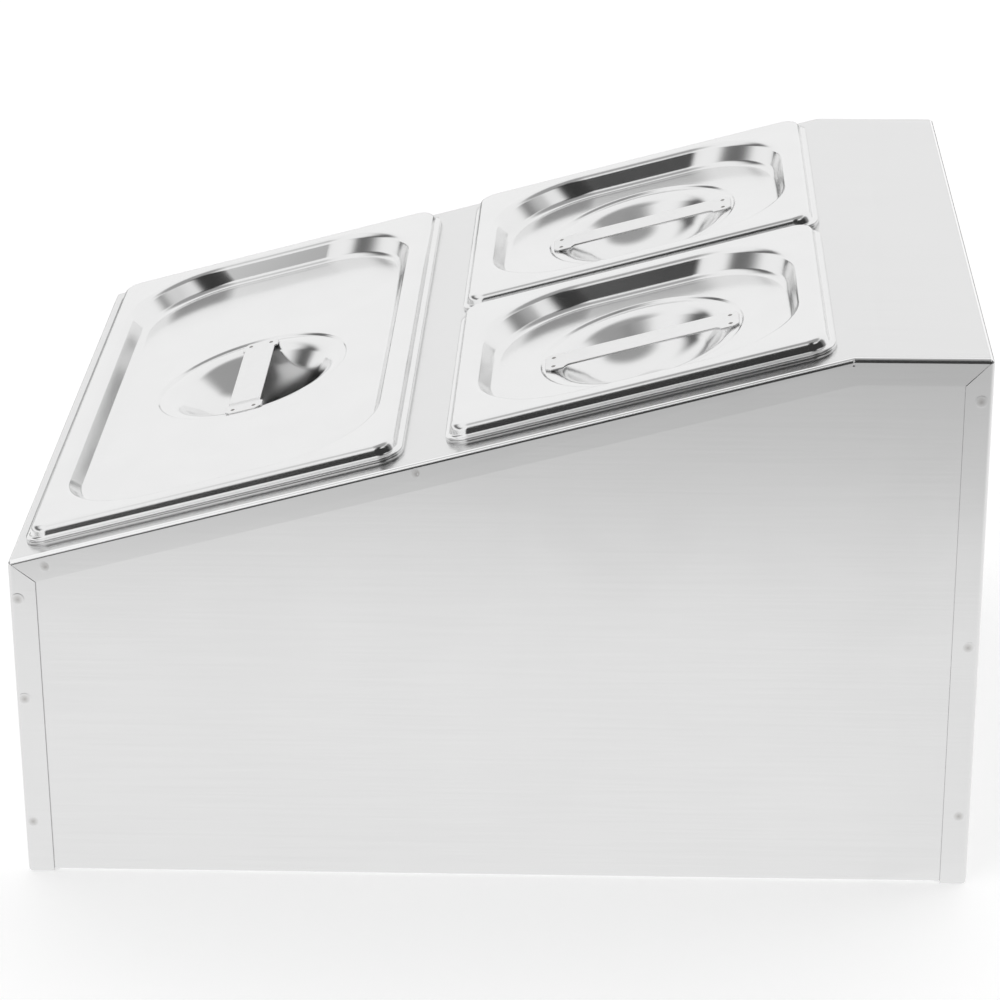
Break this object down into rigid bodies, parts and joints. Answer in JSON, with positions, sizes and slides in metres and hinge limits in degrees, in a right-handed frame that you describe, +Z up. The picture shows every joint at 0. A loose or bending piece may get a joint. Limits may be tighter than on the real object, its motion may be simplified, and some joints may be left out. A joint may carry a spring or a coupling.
{
  "type": "condiment holder",
  "caption": "Countertop condiment holder: folded steel casing with a sloping top, drop-in gastronorm pans hung by their rims, and pressed lift-off lids with strap handles in round wells.",
  "frame": {"origin": "middle of the base, on the surface that it stands on", "axes": "+Z up, +Y towards the high rear, +X to the right seen from the low front"},
  "size_m": [0.345, 0.43, 0.2605],
  "materials": {
    "casing": "fine horizontal grain, satin",
    "pan": "drawn, bright",
    "lid": "pressed, bright satin",
    "handle": "bright satin"
  },
  "bodies": {
    "casing": {"casing_wrap": "casing", "side_panel_left": "casing", "side_panel_right": "casing"},
    "pan_front": {"pan_front": "pan"},
    "lid_front": {"lid_front": "lid", "handle_front": "handle"},
    "pan_rear_left": {"pan_rear_left": "pan"},
    "lid_rear_left": {"lid_rear_left": "lid", "handle_rear_left": "handle"},
    "pan_rear_right": {"pan_rear_right": "pan"},
    "lid_rear_right": {"lid_rear_right": "lid", "handle_rear_right": "handle"}
  },
  "joints": [
    {"name": "front_pan_lift", "type": "slide", "parent": "casing", "child": "pan_front", "axis": [0, -0.2608, 0.9654], "range_m": [0, 0.16]},
    {"name": "front_lid_lift", "type": "slide", "parent": "pan_front", "child": "lid_front", "axis": [0, -0.2608, 0.9654], "range_m": [0, 0.1]},
    {"name": "rear_left_pan_lift", "type": "slide", "parent": "casing", "child": "pan_rear_left", "axis": [0, -0.2608, 0.9654], "range_m": [0, 0.16]},
    {"name": "rear_left_lid_lift", "type": "slide", "parent": "pan_rear_left", "child": "lid_rear_left", "axis": [0, -0.2608, 0.9654], "range_m": [0, 0.1]},
    {"name": "rear_right_pan_lift", "type": "slide", "parent": "casing", "child": "pan_rear_right", "axis": [0, -0.2608, 0.9654], "range_m": [0, 0.16]},
    {"name": "rear_right_lid_lift", "type": "slide", "parent": "pan_rear_right", "child": "lid_rear_right", "axis": [0, -0.2608, 0.9654], "range_m": [0, 0.1]}
  ]
}
